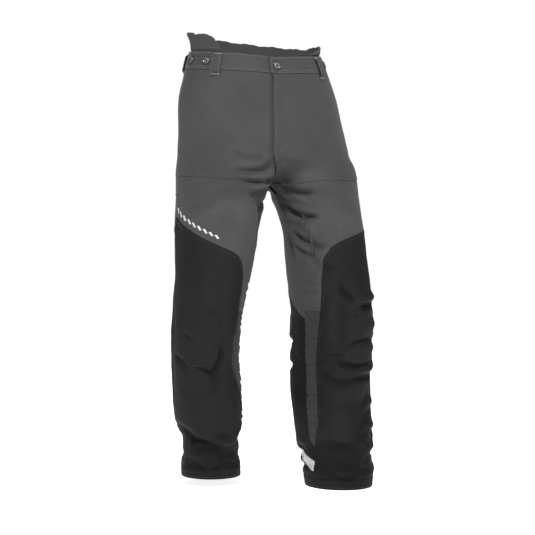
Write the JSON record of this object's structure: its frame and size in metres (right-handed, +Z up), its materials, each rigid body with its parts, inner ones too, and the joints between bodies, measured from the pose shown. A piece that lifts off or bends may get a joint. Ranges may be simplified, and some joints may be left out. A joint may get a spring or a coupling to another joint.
{
  "type": "chainsaw protective trousers",
  "caption": "Full-length chainsaw protective work trousers with padded legs, raised back, zip fly, brace buttons, belt loops and reflective tape on the calves.",
  "frame": {"origin": "middle of the waist opening at the height of the front waist edge", "axes": "+Z up along the wearer, the front faces -Y, the wearer's left is +X"},
  "size_m": [0.5019, 0.3493, 1.1467],
  "materials": {
    "grey_cloth": "dark grey woven polyester and cotton",
    "black_cloth": "near-black tough woven cloth",
    "stretch_strip": "dark grey stretch cloth",
    "reflective": "light grey glass-bead reflective tape",
    "knit": "dark elasticated knit",
    "lining": "olive-grey mesh lining",
    "pad": "layered loose cut-protection fibres",
    "zip_tape": "black woven tape",
    "metal": "dark aged metal"
  },
  "bodies": {
    "hips": {"belt_loop_back": "grey_cloth", "belt_loop_front_left": "grey_cloth", "belt_loop_front_right": "grey_cloth", "belt_loop_side_left": "grey_cloth", "belt_loop_side_right": "grey_cloth", "brace_button_back_left": "metal", "brace_button_back_right": "metal", "brace_button_front_left": "metal", "brace_button_front_right": "metal", "brace_button_side_left": "metal", "brace_button_side_right": "metal", "fly_facing": "grey_cloth", "fly_shield": "grey_cloth", "front_panel_left": "grey_cloth", "front_panel_right": "grey_cloth", "hip_fold_left": "grey_cloth", "hip_fold_right": "grey_cloth", "pocket_bag_left": "lining", "pocket_bag_right": "lining", "raised_back": "knit", "seat_left": "grey_cloth", "seat_right": "grey_cloth", "waist_button": "metal", "waistband_back": "grey_cloth", "waistband_left": "grey_cloth", "waistband_right": "grey_cloth", "zip_chain_left": "metal", "zip_chain_right": "metal", "zip_tape_left": "zip_tape", "zip_tape_right": "zip_tape"},
    "thigh_right": {"back_guard_right": "black_cloth", "knee_fold_right": "black_cloth", "thigh_back_right": "grey_cloth", "thigh_front_right": "grey_cloth", "thigh_guard_right": "black_cloth", "thigh_lining_right": "lining", "thigh_pad_right": "pad"},
    "thigh_left": {"back_guard_left": "black_cloth", "knee_fold_left": "black_cloth", "thigh_back_left": "grey_cloth", "thigh_front_left": "grey_cloth", "thigh_guard_left": "black_cloth", "thigh_lining_left": "lining", "thigh_pad_left": "pad"},
    "shin_right": {"calf_back_right": "black_cloth", "hem_right": "black_cloth", "inner_strip_right": "stretch_strip", "reflective_tape_right": "reflective", "shin_guard_right": "black_cloth", "shin_lining_right": "lining", "shin_pad_right": "pad"},
    "shin_left": {"calf_back_left": "black_cloth", "hem_left": "black_cloth", "inner_strip_left": "stretch_strip", "reflective_tape_left": "reflective", "shin_guard_left": "black_cloth", "shin_lining_left": "lining", "shin_pad_left": "pad"},
    "zip_slider": {"zip_pull": "metal", "zip_slider": "metal"}
  },
  "joints": [
    {"name": "hip_right", "type": "hinge", "parent": "hips", "child": "thigh_right", "pos_m": [0, 0.008, -0.265], "axis": [-1, 0, 0], "range_deg": [-10, 45], "deforming": ["hip_fold_right"]},
    {"name": "knee_right", "type": "hinge", "parent": "thigh_right", "child": "shin_right", "pos_m": [0, 0.0385, -0.72], "axis": [1, 0, 0], "range_deg": [0, 70], "deforming": ["knee_fold_right"]},
    {"name": "hip_left", "type": "hinge", "parent": "hips", "child": "thigh_left", "pos_m": [0, 0.008, -0.265], "axis": [-1, 0, 0], "range_deg": [-10, 45], "deforming": ["hip_fold_left"]},
    {"name": "knee_left", "type": "hinge", "parent": "thigh_left", "child": "shin_left", "pos_m": [0, -0.0639, -0.72], "axis": [1, 0, 0], "range_deg": [0, 70], "deforming": ["knee_fold_left"]},
    {"name": "zip_slide", "type": "slide", "parent": "hips", "child": "zip_slider", "axis": [0.1107, -0.0824, -0.9904], "range_m": [0, 0.14]}
  ]
}
